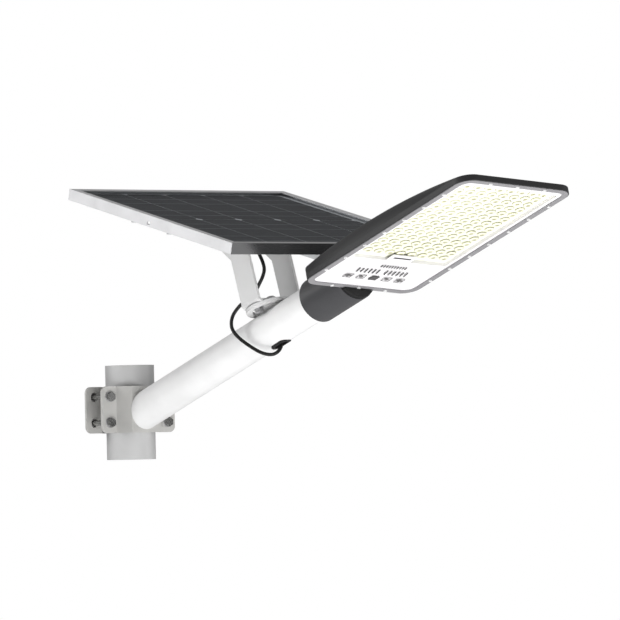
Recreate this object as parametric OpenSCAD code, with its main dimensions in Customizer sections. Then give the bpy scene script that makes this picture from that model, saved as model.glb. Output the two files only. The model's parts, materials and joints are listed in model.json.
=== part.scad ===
// Solar street lamp: a pole clamp with a rising arm, a swivelling and tilting
// solar panel above it, and a lamp head on the arm's end.
// Frame: +Z up along the pole, +X the way the arm points, origin on the pole's
// axis at the bottom end of its stub.

/* [Pole and clamp] */
// Outer diameter of the pole
pole_d = 76; // [70:1:90]
// Wall of the pole
pole_wall = 3; // [2:0.5:4]
// Length of the pole stub
pole_len = 146; // [130:1:300]
// Height of the clamp's middle above the stub's bottom end
clamp_z = 77.5; // [60:0.5:90]
// Height of the clamp plates
clamp_h = 72; // [60:1:80]
// Thickness of the clamp plates
clamp_t = 4; // [3:0.5:5]
// Distance of the clamp bolts from the middle plane
clamp_bolt_y = 54.5; // [54:0.5:58]
// Height between the two clamp bolts of a side
clamp_bolt_pitch = 40; // [34:1:44]

/* [Arm] */
// Outer diameter of the arm tube
arm_d = 57; // [56:1:60]
// Wall of the arm tube
arm_wall = 2.5; // [2:0.5:4]
// Rise of the arm above the horizontal, in degrees
arm_rise = 19; // [15:0.5:22]
// Height where the arm's axis meets the pole's axis
arm_z = 62; // [60:0.1:66]
// Length of the arm's axis from the pole's axis to the tube's end
arm_len = 600; // [590:1:604]
// Distance of the panel bracket along the arm
bracket_at = 405; // [395:1:410]

/* [Panel bracket] */
// Diameter of the swivel flange on the arm
flange_d = 82; // [80:1:88]
// Thickness of the swivel flange
flange_t = 5; // [4:0.5:6]
// Thickness of the bracket's strip
strip_t = 4; // [3:0.5:4]
// Width of the bracket's strip
strip_w = 44; // [40:1:48]
// Width over the bracket's two uprights
bracket_w = 81; // [80:1:84]
// Height of the tilt pivot above the arm's axis
pivot_h = 129.5; // [126:0.5:130]

/* [Panel] */
// Length of the panel down its slope
panel_len = 422; // [400:1:430]
// Width of the panel
panel_w = 407; // [390:1:420]
// Depth of the panel's frame
panel_t = 17; // [16.5:0.5:20]
// Tilt of the panel below the horizontal, in degrees
panel_tilt = 13.7; // [12:0.1:14]
// Columns of cells across the panel
cell_cols = 5; // [3:1:6]
// Rows of cells down the panel
cell_rows = 2; // [1:1:3]

/* [Lamp head] */
// Length of the lamp's lens trim
head_len = 410; // [405:1:420]
// Width of the lamp's lens trim
head_w = 200; // [198:1:206]
// Corner radius of the lens trim
head_r = 24; // [20:1:30]
// Distance of the lens trim's near edge along the arm
head_at = 610; // [608:1:616]
// Distance of the lens face below the arm's axis
lens_drop = 19; // [19:0.5:20]
// Roll of the head about the arm, in degrees
head_roll = 5.2; // [0:0.1:8]
// Height of the housing's crown above the lens face
crown_h = 61; // [60:0.5:62]
// Columns of lenses across the head
led_cols = 8; // [4:1:8]
// Rows of lenses along the head
led_rows = 14; // [8:1:14]

/* [Hidden] */
$fn = 72;
eps = 0.01;

// Running and seating clearances
run_gap = 0.05;
seat_gap = 0.1;

// Metric fastener sizes: shank radius, width across flats, head and nut height
m8 = [4, 13, 5.3, 6.5];
m6 = [3, 10, 4, 5];
washer_t = 1.6;
washer_r = 8;

pole_r = pole_d / 2;
arm_r = arm_d / 2;
cable_for_r = 28.5;
arm_shift = arm_r - cable_for_r;

// Clamp profile, seen from above
clamp_face_x = pole_r + run_gap;
clamp_face_y = 27;
clamp_knee_y = 42;
clamp_edge_y = 69;
front_ear_x = 17.5;
rear_ear_x = 20.5;
ear_corner_r = 10;

// Bracket
web_z = arm_r + flange_t + seat_gap;
upright_y = bracket_w / 2;
bend_r = 3;
bend_lap = 4;
swivel_bolt_r = 27;
swivel_slot_half = 60;
slot_w = 9;
pivot_top_r = strip_w / 2;
tilt_slot_r = 31;
tilt_slot_low = 22;
tilt_slot_high = 52;
tilt_wing_r = 39;
wing_foot = 16;
ear_t = 3.8;
ear_y = upright_y - strip_t - 0.2;

// Panel, in its own frame: x down the slope, z off the glass
panel_top_x = 342.6;
panel_top_z = 361.6;
lip_w = 12;
sheet_t = 1.5;
foot_w = 11;
glass_t = 3.2;
ledge_z = 6;
margin = 7;
cell_gap = 2;
cell_area_x = panel_len - 2 * (lip_w + 2);
cell_area_y = panel_w - 2 * (lip_w + margin);
cell_x = cell_area_x / cell_rows - cell_gap;
cell_y = cell_area_y / cell_cols - cell_gap;
cell_chamfer = 7;
rail_w = 24;
rail_h = 9;
rail_at = 46;
saddle_bolt_y = 26;
box_len = 64;
box_w = 64;
box_front = 198;
box_depth = 28.3;
gland_y = -14;
gland_z = -18;

// The tilt pivot's place in the panel's frame
pivot_x = bracket_at * cos(arm_rise) - pivot_h * sin(arm_rise) - panel_top_x;
pivot_z = arm_z + bracket_at * sin(arm_rise) + pivot_h * cos(arm_rise) - panel_top_z;
pivot_px = pivot_x * cos(panel_tilt) - pivot_z * sin(panel_tilt);
pivot_pz = pivot_x * sin(panel_tilt) + pivot_z * cos(panel_tilt);
tilt_bolt_dir = 180 - tilt_slot_high + arm_rise + panel_tilt;

// Lamp head, in its own frame: x along the arm, z away from the lens
rim_lip = 1.5;
wall = 3;
trim_w = 9.5;
trim_t = 1.6;
cover_t = 1.4;
edge_h = 9.5;
side_r = 39;
side_over = 0.3;
side_base = edge_h - side_r * sin(acos(1 - side_over / side_r));
crown_x = 140;
crown_arc_r = 1330;
crown_fore_sweep = 14;
crown_aft_sweep = 9;
nose_x = 200;
nose_r = 400;
tail_x = 100;
tail_r = 184;
collar_r = 34.8;
collar_len = 95;
neck_len = 96;
boss_top = 47;
led_x0 = 119;
led_pitch_x = 19.1;
led_pitch_y = 19.7;
led_area_x = led_rows * led_pitch_x;
led_area_y = led_cols * led_pitch_y;
optic_z = 6.9;
optic_t = 1;
board_z = 9;
board_t = 1.2;
screw_long_pitch = 49.4;
screw_short_pitch = 48.5;
screw_inset = 5;
cable_r = 2.6;
strip_cable_y = -upright_y + strip_t + cable_r + seat_gap;
cable_join = [10, 52];

// ---------- frames ----------

module arm_frame() { translate([0, 0, arm_z]) rotate([0, -arm_rise, 0]) children(); }

module panel_frame() {
    translate([panel_top_x, 0, panel_top_z]) rotate([0, panel_tilt, 0]) children();
}

module head_frame() {
    arm_frame() translate([head_at, 0, 0]) rotate([-head_roll, 0, 0])
        translate([0, 0, -lens_drop]) children();
}

// ---------- shapes used more than once ----------

function arm_point(k, y, h) =
    [k * cos(arm_rise) - h * sin(arm_rise), y, arm_z + k * sin(arm_rise) + h * cos(arm_rise)];

function panel_point(x, y, z) = [panel_top_x + x * cos(panel_tilt) + z * sin(panel_tilt), y,
    panel_top_z - x * sin(panel_tilt) + z * cos(panel_tilt)];

module box(lo, hi) { translate(lo) cube(hi - lo); }

module rounded_rect(len, wid, r) {
    union() {
        square([len - 2 * r, wid], center = true);
        square([len, wid - 2 * r], center = true);
        for (x = [-1, 1], y = [-1, 1])
            translate([x * (len / 2 - r), y * (wid / 2 - r)]) circle(r);
    }
}

module rod_x(r, len) { rotate([0, 90, 0]) cylinder(r = r, h = len); }

module hexagon(flats, h) { cylinder(r = flats / sqrt(3), h = h, $fn = 6); }

// A bolt whose head's seat is at z = 0, with its shank pointing down
module bolt(m, len) {
    hexagon(m[1], m[2]);
    translate([0, 0, -len]) cylinder(r = m[0], h = len + eps);
}

module nut(m) {
    difference() {
        hexagon(m[1], m[3]);
        translate([0, 0, -1]) cylinder(r = m[0] + run_gap, h = m[3] + 2);
    }
}

module washer(r_in) {
    difference() {
        cylinder(r = washer_r, h = washer_t);
        translate([0, 0, -1]) cylinder(r = r_in, h = washer_t + 2);
    }
}

// A flat slot that follows an arc about the origin, between two angles
module arc_slot(r, wid, from, to) {
    reach = (r + wid) / cos((to - from) / 4);
    mid = (from + to) / 2;
    intersection() {
        difference() {
            circle(r + wid / 2);
            circle(r - wid / 2);
        }
        polygon([[0, 0], reach * [cos(from), sin(from)],
            reach * [cos((from + mid) / 2), sin((from + mid) / 2)],
            reach * [cos(mid), sin(mid)],
            reach * [cos((to + mid) / 2), sin((to + mid) / 2)], reach * [cos(to), sin(to)]]);
    }
    for (a = [from, to]) rotate(a) translate([r, 0]) circle(d = wid - 0.1);
}

// A smooth curve through a list of points
function curve_point(p, i, t) =
    let (a = p[max(i - 1, 0)], b = p[i], c = p[i + 1], d = p[min(i + 2, len(p) - 1)])
    0.5 * ((2 * b) + (c - a) * t + (2 * a - 5 * b + 4 * c - d) * t * t
        + (3 * b - a - 3 * c + d) * t * t * t);

function curve(p, steps) =
    [for (i = [0:len(p) - 2], s = [0:steps - 1]) curve_point(p, i, s / steps), p[len(p) - 1]];

function unit(v) = v / norm(v);

function heading(q, i) = unit(q[min(i + 1, len(q) - 1)] - q[max(i - 1, 0)]);

// Carries a ring's side vector along the curve without twist
function sides(q) =
    let (first = unit(cross(heading(q, 0), [0.3, 0.2, 1])))
    [for (i = 0, s = first; i < len(q);
        i = i + 1, s = i < len(q) ? unit(s - (s * heading(q, i)) * heading(q, i)) : s) s];

module cable(points, r, steps = 4, around = 10) {
    q = curve(points, steps);
    side = sides(q);
    ring = [for (i = [0:len(q) - 1], a = [0:around - 1])
        let (u = side[i], v = cross(heading(q, i), u), t = 360 * a / around)
        q[i] + r * (cos(t) * u + sin(t) * v)];
    last = (len(q) - 1) * around;
    skin = [for (i = [0:len(q) - 2], a = [0:around - 1])
        let (b = (a + 1) % around, j = i * around)
        [j + a, j + around + a, j + around + b, j + b]];
    polyhedron(ring, concat(skin, [[for (a = [0:around - 1]) a]],
        [[for (a = [around - 1:-1:0]) last + a]]));
}

// ---------- pole and clamp ----------

module pole_stub() {
    color("gainsboro") difference() {
        cylinder(r = pole_r, h = pole_len);
        translate([0, 0, -1]) cylinder(r = pole_r - pole_wall, h = pole_len + 2);
    }
}

// The folded profile of one clamp half, opening towards -x
module clamp_profile(ear_x) {
    slope = atan2(clamp_face_x + clamp_t - ear_x - clamp_t, clamp_knee_y - clamp_face_y);
    shift = clamp_t * tan((90 - slope) / 2 + 45) - clamp_t;
    outer_x = clamp_face_x + clamp_t;
    polygon([
        [ear_x, clamp_edge_y], [ear_x + clamp_t, clamp_edge_y],
        [ear_x + clamp_t, clamp_knee_y], [outer_x, clamp_face_y],
        [outer_x, -clamp_face_y], [ear_x + clamp_t, -clamp_knee_y],
        [ear_x + clamp_t, -clamp_edge_y], [ear_x, -clamp_edge_y],
        [ear_x, -clamp_knee_y + clamp_t * 0.55], [clamp_face_x, -clamp_face_y + clamp_t * 0.55],
        [clamp_face_x, clamp_face_y - clamp_t * 0.55], [ear_x, clamp_knee_y - clamp_t * 0.55]
    ]);
}

module clamp_half(ear_x, hole_r, hole_rise) {
    difference() {
        translate([0, 0, clamp_z - clamp_h / 2]) linear_extrude(clamp_h) clamp_profile(ear_x);
        for (s = [-1, 1], z = [-1, 1]) translate([ear_x - 1, s * clamp_bolt_y,
            clamp_z + z * clamp_bolt_pitch / 2]) {
            for (rise = [-1, 1]) translate([0, 0, rise * hole_rise]) rod_x(hole_r, clamp_t + 2);
            if (hole_rise > 0)
                box([0, -hole_r, -hole_rise], [clamp_t + 2, hole_r, hole_rise]);
        }
        for (s = [-1, 1], z = [-1, 1]) ear_corner(ear_x, s, z);
    }
}

// What is cut from an ear's outer corner to round it
module ear_corner(ear_x, s, z) {
    corner_y = s * (clamp_edge_y - ear_corner_r);
    corner_z = clamp_z + z * (clamp_h / 2 - ear_corner_r);
    difference() {
        translate([ear_x + clamp_t / 2, corner_y + s * ear_corner_r, corner_z + z * ear_corner_r])
            cube([clamp_t + 2, 2 * ear_corner_r, 2 * ear_corner_r], center = true);
        translate([ear_x - 2, corner_y, corner_z]) rod_x(ear_corner_r, clamp_t + 4);
    }
}

module clamp_front() { color("silver") clamp_half(front_ear_x, 4.5, 0); }

module clamp_rear() { color("silver") mirror([1, 0, 0]) clamp_half(rear_ear_x, 5, 2); }

module each_clamp_bolt() {
    for (s = [-1, 1], z = [-1, 1])
        translate([0, s * clamp_bolt_y, clamp_z + z * clamp_bolt_pitch / 2]) children();
}

front_seat = front_ear_x + clamp_t;
rear_seat = -rear_ear_x - clamp_t;

module clamp_bolts() {
    color("dimgray") each_clamp_bolt() translate([front_seat + washer_t, 0, 0])
        rotate([0, 90, 0]) bolt(m8, front_seat - rear_seat + 2 * washer_t + 10);
}

module clamp_washers() {
    color("darkgray") each_clamp_bolt() for (x = [front_seat, rear_seat - washer_t])
        translate([x, 0, 0]) rotate([0, 90, 0]) washer(m8[0] + run_gap);
}

module clamp_nuts() {
    color("dimgray") each_clamp_bolt() translate([rear_seat - washer_t - m8[3], 0, 0])
        rotate([0, 90, 0]) nut(m8);
}

// ---------- arm ----------

entry_len = 34;
entry_w = 14;

module entry_slot(grow) {
    translate([bracket_at, 0, -arm_r - 3])
        linear_extrude(arm_wall + 6) rounded_slot(entry_len + 2 * grow, entry_w + 2 * grow);
}

module rounded_slot(len, wid) {
    square([len - wid, wid], center = true);
    for (s = [-1, 1]) translate([s * (len - wid) / 2, 0]) circle(wid / 2);
}

module arm_tube() {
    color("whitesmoke") difference() {
        arm_frame() difference() {
            rod_x(arm_r, arm_len);
            translate([-1, 0, 0]) rod_x(arm_r - arm_wall, arm_len + 2);
            entry_slot(0);
        }
        box([-60, -60, -60], [clamp_face_x + clamp_t, 60, 160]);
    }
}

module swivel_flange() {
    color("lightgray") arm_frame() difference() {
        translate([bracket_at, 0, 0]) {
            translate([0, 0, arm_r]) cylinder(d = flange_d, h = flange_t);
            box([-26, -13, arm_r - 4], [26, 13, arm_r + 1]);
            translate([0, 0, arm_r + flange_t - eps]) cylinder(r = 6, h = 14);
        }
        translate([bracket_at - 50, 0, 0]) rod_x(arm_r + eps, 100);
        for (s = [-90, 90]) translate([bracket_at, 0, arm_r - 1]) linear_extrude(flange_t + 2)
            arc_slot(swivel_bolt_r, slot_w, s - swivel_slot_half, s + swivel_slot_half);
    }
}

module cable_grommet() {
    color("black") arm_frame() difference() {
        union() {
            entry_slot(-seat_gap);
            translate([bracket_at, 0, 0]) intersection() {
                translate([0, 0, -arm_r - 3])
                    linear_extrude(8) rounded_slot(entry_len + 5, entry_w + 5);
                difference() {
                    translate([-40, 0, 0]) rod_x(arm_r + 1.5, 80);
                    translate([-41, 0, 0]) rod_x(arm_r + eps, 82);
                }
            }
        }
        translate([bracket_at, 0, -arm_r - 4]) linear_extrude(20)
            rounded_slot(entry_len - 5, entry_w - 5);
        translate([bracket_at - 40, 0, 0]) rod_x(arm_r - arm_wall - 1.5, 80);
        difference() {
            translate([bracket_at - 50, -50, -60]) cube([100, 100, 60]);
            translate([bracket_at - 51, 0, 0]) rod_x(arm_r + 1.5, 102);
        }
    }
}

// From behind the near upright, down round the arm and up into the entry slot
module cable_lower() {
    y = strip_cable_y;
    color("black") cable([for (p = [
        [cable_join[0] - 0.6, y, cable_join[1] - 0.1], [-8, y, 49], [-20, y + 0.5, 48],
        [-31, -35.5, 46], [-42, -43, 36], [-47, -47, 24], [-46, -48, 11], [-38, -45, -5],
        [-27, -37, -22], [-18, -27, -35], [-11, -16, -41], [-5, -8, -40], [-1, -2, -34],
        [0, 0, -28], [0, 0, -20]
    ]) arm_point(bracket_at + p[0], p[1], arm_shift + p[2])], cable_r);
}

module arm_lead() {
    k = bracket_at;
    color("black") cable([for (p = [
        [k + 1, -18.5], [k + 8, -12], [k + 25, -8], [k + 65, -10], [k + 115, -4], [k + 154, 0]
    ]) arm_point(p[0], 0, p[1])], cable_r);
}

module lead_connector() {
    color("black") arm_frame() translate([bracket_at + 155, 0, 0]) {
        rod_x(8, 14);
        translate([14, 0, 0]) rod_x(6, 20);
        translate([19, 0, 0]) rod_x(9, 9);
    }
}

// ---------- panel bracket ----------

// The web and its two bends, seen along the arm
module web_profile() {
    inner_y = upright_y - strip_t;
    outer_r = bend_r + strip_t;
    difference() {
        union() {
            translate([-upright_y, web_z + outer_r]) square([2 * upright_y, bend_lap]);
            translate([-upright_y + outer_r, web_z])
                square([2 * (upright_y - outer_r), outer_r + 1]);
            for (s = [-1, 1]) translate([s * (upright_y - outer_r), web_z + outer_r])
                circle(outer_r);
        }
        translate([-inner_y, web_z + outer_r]) square([2 * inner_y, pivot_h]);
        translate([-inner_y + bend_r, web_z + strip_t])
            square([2 * (inner_y - bend_r), pivot_h]);
        for (s = [-1, 1]) translate([s * (inner_y - bend_r), web_z + outer_r]) circle(bend_r);
    }
}

// The upright's head: a round end about the pivot and a wing with the tilt slot
module upright() {
    wing_high = 62;
    foot = web_z + bend_r + strip_t + bend_lap - pivot_h;
    translate([-strip_w / 2, foot]) square([strip_w, -foot]);
    circle(pivot_top_r);
    intersection() {
        circle(tilt_wing_r);
        polygon([[0, 0], [0, -wing_foot], [-pivot_top_r + 1, -wing_foot],
            [-tilt_wing_r - 20, tilt_wing_r - 7], 60 * [-cos(wing_high), sin(wing_high)]]);
    }
}

module u_bracket() {
    color("gainsboro") arm_frame() translate([bracket_at, 0, 0]) {
        difference() {
            rotate([90, 0, 90]) translate([0, 0, -strip_w / 2])
                linear_extrude(strip_w) web_profile();
            translate([0, 0, web_z - 1]) cylinder(r = 6 + run_gap, h = strip_t + 2);
            for (s = [-1, 1]) translate([0, s * swivel_bolt_r, web_z - 1])
                cylinder(r = m8[0] + run_gap, h = strip_t + 2);
        }
        for (s = [-1, 1]) translate([0, s * (upright_y - strip_t / 2), pivot_h])
            rotate([90, 0, 0]) translate([0, 0, -strip_t / 2]) linear_extrude(strip_t)
                difference() {
                    upright();
                    circle(m8[0] + run_gap);
                    arc_slot(tilt_slot_r, slot_w, 180 - tilt_slot_high, 180 - tilt_slot_low);
                }
    }
}

module at_swivel_bolts() {
    arm_frame() for (s = [-1, 1]) translate([bracket_at, s * swivel_bolt_r, 0]) children();
}

module swivel_bolts() {
    color("dimgray") at_swivel_bolts() translate([0, 0, arm_r]) mirror([0, 0, 1])
        rotate([0, 0, 30]) bolt(m8, flange_t + seat_gap + strip_t + m8[3] + 2);
}

module swivel_nuts() {
    color("darkgray") at_swivel_bolts() translate([0, 0, web_z + strip_t]) nut(m8);
    color("darkgray") arm_frame() translate([bracket_at, 0, web_z + strip_t]) difference() {
        hexagon(18, 7);
        translate([0, 0, -1]) cylinder(r = 6 + run_gap, h = 9);
    }
}

// Places a child on the outside of each upright at a point of the arm's frame
module on_uprights(k, h) {
    arm_frame() for (s = [-1, 1]) translate([k, s * upright_y, h])
        rotate([-90 * s, 0, 0]) children();
}

module pivot_bolts() {
    color("dimgray") on_uprights(bracket_at, pivot_h) bolt(m8, strip_t + ear_t + 10);
}

module pivot_nuts() {
    color("dimgray") on_uprights(bracket_at, pivot_h)
        translate([0, 0, -strip_t - 0.2 - ear_t - m8[3]]) nut(m8);
}

// ---------- panel ----------

// Frame profile: x = 0 is the outer face and x grows inwards, y = 0 is the top
module frame_profile() {
    translate([0, -panel_t]) square([sheet_t, panel_t]);
    translate([0, -sheet_t]) square([lip_w, sheet_t]);
    translate([0, -ledge_z - sheet_t]) square([lip_w - 3, sheet_t]);
    translate([0, -panel_t]) square([foot_w, sheet_t]);
}

// A bar of the frame along y, its outer face at x = 0 and its body towards -x
module frame_bar(len) {
    difference() {
        rotate([90, 0, 0]) translate([0, 0, -len / 2]) linear_extrude(len)
            mirror([1, 0]) frame_profile();
        for (s = [-1, 1]) translate([0, s * len / 2, -panel_t - 1]) rotate([0, 0, s * 45])
            box([-60, s > 0 ? 0 : -60, 0], [60, s > 0 ? 60 : 0, panel_t + 2]);
    }
}

module frame_front() {
    color("gainsboro") panel_frame() translate([panel_len / 2, 0, 0]) frame_bar(panel_w);
}

module frame_rear() {
    color("gainsboro") panel_frame() rotate([0, 0, 180])
        translate([panel_len / 2, 0, 0]) frame_bar(panel_w);
}

module side_bar() {
    difference() {
        translate([panel_w / 2, 0, 0]) frame_bar(panel_len);
        translate([panel_w / 2 - 5, 0, -panel_t * 0.67]) rotate([0, 90, 0])
            linear_extrude(10) rotate([0, 0, 90]) rounded_slot(8, 5.5);
        for (s = [-1, 1]) translate([panel_w / 2 - 6.5, s * rail_at, -panel_t - 1])
            cylinder(r = 2.05, h = sheet_t + 2);
    }
}

module frame_left() { color("gainsboro") panel_frame() rotate([0, 0, -90]) side_bar(); }

module frame_right() { color("gainsboro") panel_frame() rotate([0, 0, 90]) side_bar(); }

module corner_keys() {
    leg = 34;
    top = -ledge_z - sheet_t - seat_gap;
    bottom = -panel_t + sheet_t + seat_gap;
    color("darkgray") panel_frame() for (sx = [-1, 1], sy = [-1, 1]) {
        x = panel_len / 2 - sheet_t - seat_gap;
        y = panel_w / 2 - sheet_t - seat_gap;
        mirror([sx < 0 ? 1 : 0, 0, 0]) mirror([0, sy < 0 ? 1 : 0, 0]) {
            box([x - leg, y - 6, bottom], [x, y, top]);
            box([x - 6, y - leg, bottom], [x, y - 6 + eps, top]);
        }
    }
}

glass_x = panel_len - 2 * sheet_t - 1;
glass_y = panel_w - 2 * sheet_t - 1;
glass_bottom = -sheet_t - seat_gap - glass_t;
ribbon_t = 0.2;
cell_t = 0.25;

module sheet(x, y, low, high) {
    translate([0, 0, low]) linear_extrude(high - low) square([x, y], center = true);
}

module panel_glass() {
    color("lightblue", 0.4) panel_frame() sheet(glass_x, glass_y, glass_bottom,
        -sheet_t - seat_gap);
}

module cell_shape() {
    difference() {
        square([cell_x, cell_y], center = true);
        for (sx = [-1, 1], sy = [-1, 1]) translate([sx * cell_x / 2, sy * cell_y / 2])
            rotate(45) square(cell_chamfer, center = true);
    }
}

function cell_mid(i, count, area) = (i + 0.5) * area / count - area / 2;

module solar_cells() {
    top = glass_bottom - 2 * eps - ribbon_t - eps;
    color("#16171c") panel_frame() for (i = [0:cell_rows - 1], j = [0:cell_cols - 1])
        translate([cell_mid(i, cell_rows, cell_area_x), cell_mid(j, cell_cols, cell_area_y),
            top - cell_t]) linear_extrude(cell_t) cell_shape();
}

module cell_ribbons() {
    color("silver") panel_frame() for (i = [0:cell_rows - 1], f = [0.2, 0.38, 0.67, 0.85])
        translate([i * cell_area_x / cell_rows - cell_area_x / 2 + f * cell_area_x / cell_rows,
            0, 0]) sheet(1.2, cell_area_y, glass_bottom - 2 * eps - ribbon_t,
            glass_bottom - 2 * eps);
}

module backsheet() {
    color("white") panel_frame() sheet(glass_x, glass_y, -ledge_z + eps,
        glass_bottom - 0.55);
}

module cross_rails() {
    color("silver") panel_frame() for (s = [-1, 1]) translate([s * rail_at, 0, 0]) {
        y = panel_w / 2 - sheet_t - seat_gap - 1;
        z = -panel_t + sheet_t + seat_gap;
        difference() {
            box([-rail_w / 2, -y, z], [rail_w / 2, y, z + rail_h - 1.2]);
            box([-rail_w / 2 + 2, -y - 1, z + 2], [rail_w / 2 - 2, y + 1, z + rail_h]);
            for (sy = [-1, 1]) {
                translate([0, sy * (panel_w / 2 - 6.5), z - 1]) cylinder(r = 2.05, h = 4);
                translate([0, sy * saddle_bolt_y, z - 1]) cylinder(r = m6[0] + run_gap, h = 4);
            }
        }
    }
}

module rail_screws() {
    color("dimgray") panel_frame() for (s = [-1, 1], sy = [-1, 1])
        translate([s * rail_at, sy * (panel_w / 2 - 6.5), -panel_t]) {
            mirror([0, 0, 1]) cylinder(r = 4, h = 2.4);
            translate([0, 0, sheet_t + seat_gap + 2]) cylinder(r = 3.2, h = 2.4);
            cylinder(r = 2, h = sheet_t + seat_gap + 3);
        }
}

saddle_top = -panel_t + sheet_t;
saddle_t = 3.8;

module saddle_ear() {
    tilt_at = [pivot_px + tilt_slot_r * cos(tilt_bolt_dir),
        pivot_pz + tilt_slot_r * sin(tilt_bolt_dir)];
    polygon([
        [-rail_at - rail_w / 2, saddle_top], [rail_at + rail_w / 2, saddle_top],
        [rail_at + rail_w / 2, saddle_top - 6], [pivot_px + 13, pivot_pz + 2],
        [pivot_px + 6, pivot_pz - 11.3], [pivot_px - 6, pivot_pz - 11.3],
        [tilt_at[0] - 12, tilt_at[1] - 8], [-rail_at - rail_w / 2, saddle_top - 6]
    ]);
    translate([pivot_px, pivot_pz]) circle(13);
}

module panel_saddle() {
    color("silver") panel_frame() difference() {
        union() {
            box([-rail_at - rail_w / 2, -ear_y, saddle_top - saddle_t],
                [rail_at + rail_w / 2, ear_y, saddle_top]);
            for (s = [-1, 1]) translate([0, s * (ear_y - ear_t / 2), 0]) rotate([90, 0, 0])
                translate([0, 0, -ear_t / 2]) linear_extrude(ear_t) saddle_ear();
        }
        for (s = [-1, 1]) {
            translate([pivot_px, s * 35, pivot_pz]) rotate([90, 0, 0])
                translate([0, 0, -8]) cylinder(r = m8[0] + run_gap, h = 16);
            translate([pivot_px + tilt_slot_r * cos(tilt_bolt_dir), s * 35,
                pivot_pz + tilt_slot_r * sin(tilt_bolt_dir)]) rotate([90, 0, 0])
                translate([0, 0, -8]) cylinder(r = m8[0] + run_gap, h = 16);
            for (sx = [-1, 1]) translate([sx * rail_at, s * saddle_bolt_y, saddle_top - saddle_t - 1])
                cylinder(r = m6[0] + run_gap, h = saddle_t + 2);
        }
        box([-26, -22, saddle_top - saddle_t - 1], [26, 22, saddle_top + 1]);
    }
}

module saddle_bolts() {
    color("dimgray") panel_frame() for (sx = [-1, 1], s = [-1, 1])
        translate([sx * rail_at, s * saddle_bolt_y, saddle_top - saddle_t]) {
            mirror([0, 0, 1]) bolt(m6, saddle_t + seat_gap + 2 + 4);
            translate([0, 0, saddle_t + seat_gap + 2]) hexagon(m6[1], 4);
        }
}

tilt_bolt_k = bracket_at - tilt_slot_r * cos(tilt_slot_high);
tilt_bolt_h = pivot_h + tilt_slot_r * sin(tilt_slot_high);

module tilt_bolts() {
    color("dimgray") on_uprights(tilt_bolt_k, tilt_bolt_h) rotate([0, 0, 30])
        bolt(m8, strip_t + ear_t + 10);
}

module tilt_nuts() {
    color("dimgray") on_uprights(tilt_bolt_k, tilt_bolt_h)
        translate([0, 0, -strip_t - 0.2 - ear_t - m8[3]]) nut(m8);
}

box_top = -ledge_z - 0.1;
lid_t = 4;

module junction_box() {
    color("white") panel_frame() difference() {
        translate([box_front - box_len / 2, 0, -box_depth + lid_t]) linear_extrude(
            box_depth - lid_t + box_top) rounded_rect(box_len, box_w, 5);
        translate([box_front - box_len / 2, 0, -box_depth + lid_t - 1]) linear_extrude(
            box_depth - lid_t + box_top - 1) rounded_rect(box_len - 5, box_w - 5, 3);
        translate([box_front - box_len - 1, gland_y, gland_z]) rod_x(5, 5);
    }
}

module junction_lid() {
    color("whitesmoke") panel_frame() translate([box_front - box_len / 2, 0, -box_depth]) {
        linear_extrude(lid_t - eps) rounded_rect(box_len, box_w, 5);
        translate([0, 0, lid_t - 2 * eps]) linear_extrude(2) difference() {
            rounded_rect(box_len - 5.4, box_w - 5.4, 2.8);
            rounded_rect(box_len - 9, box_w - 9, 2);
        }
    }
}

module cable_gland() {
    color("black") panel_frame() translate([box_front - box_len, gland_y, gland_z]) difference() {
        union() {
            translate([-4, 0, 0]) rotate([0, 90, 0]) hexagon(15, 4 - eps);
            translate([-10, 0, 0]) rod_x(6, 6);
            translate([-1, 0, 0]) rod_x(5 - run_gap, 3.4);
        }
        translate([-12, 0, 0]) rod_x(cable_r + 2 * run_gap, 20);
    }
}

// From the box's gland, along under the panel and down behind the near upright
module cable_upper() {
    gx = box_front - box_len;
    k = bracket_at;
    y = strip_cable_y;
    color("black") cable([
        panel_point(gx + 5, gland_y, gland_z), panel_point(gx - 7, gland_y, gland_z),
        panel_point(gx - 19, gland_y, gland_z), panel_point(gx - 46, gland_y, gland_z - 4),
        panel_point(gx - 76, gland_y, gland_z - 7), panel_point(gx - 98, gland_y, gland_z - 12),
        panel_point(gx - 106, gland_y - 3, gland_z - 24),
        arm_point(k + 21, gland_y - 5, 109), arm_point(k + 27, gland_y - 7, 95),
        arm_point(k + 32, gland_y - 11, 80), arm_point(k + 30, y + 3.5, 68),
        arm_point(k + 21, y + 0.5, 59), arm_point(k + cable_join[0] + 0.6, y, cable_join[1] + 0.1)
    ], cable_r);
}

// ---------- lamp head ----------

module head_outline(grow) {
    translate([head_len / 2, 0])
        rounded_rect(head_len + 2 * grow, head_w + 2 * grow, head_r + grow);
}

// The housing's cross-section: a shallow crown between round shoulders, run down
// to below the lens face
module crown_section(inset) {
    half = head_w / 2 + rim_lip + side_over - inset;
    r = side_r - inset;
    mid_y = half - r;
    rise = crown_h - side_base;
    crown_r = (pow(mid_y, 2) + pow(rise, 2) - pow(side_r, 2)) / (2 * (rise - side_r));
    translate([-half, -crown_h]) square([2 * half, crown_h + side_base]);
    intersection() {
        translate([-half, side_base - eps]) square([2 * half, crown_h]);
        union() {
            for (s = [-1, 1]) translate([s * mid_y, side_base]) circle(r);
            intersection() {
                translate([0, crown_h - crown_r]) circle(crown_r - inset, $fn = 180);
                translate([0, crown_h - crown_r]) polygon([
                    [0, 0], 2 * [mid_y, crown_r - rise], 2 * [-mid_y, crown_r - rise]]);
            }
        }
    }
}

// The cross-section carried along one long arc, highest at x = crown_x
module housing_dome(inset) {
    translate([crown_x, 0, crown_h - crown_arc_r]) rotate([90, 0, 0])
        rotate([0, 0, 90 - crown_fore_sweep])
            rotate_extrude(angle = crown_fore_sweep + crown_aft_sweep, $fn = 720)
                translate([crown_arc_r - crown_h, 0]) rotate(-90) crown_section(inset);
}

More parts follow.
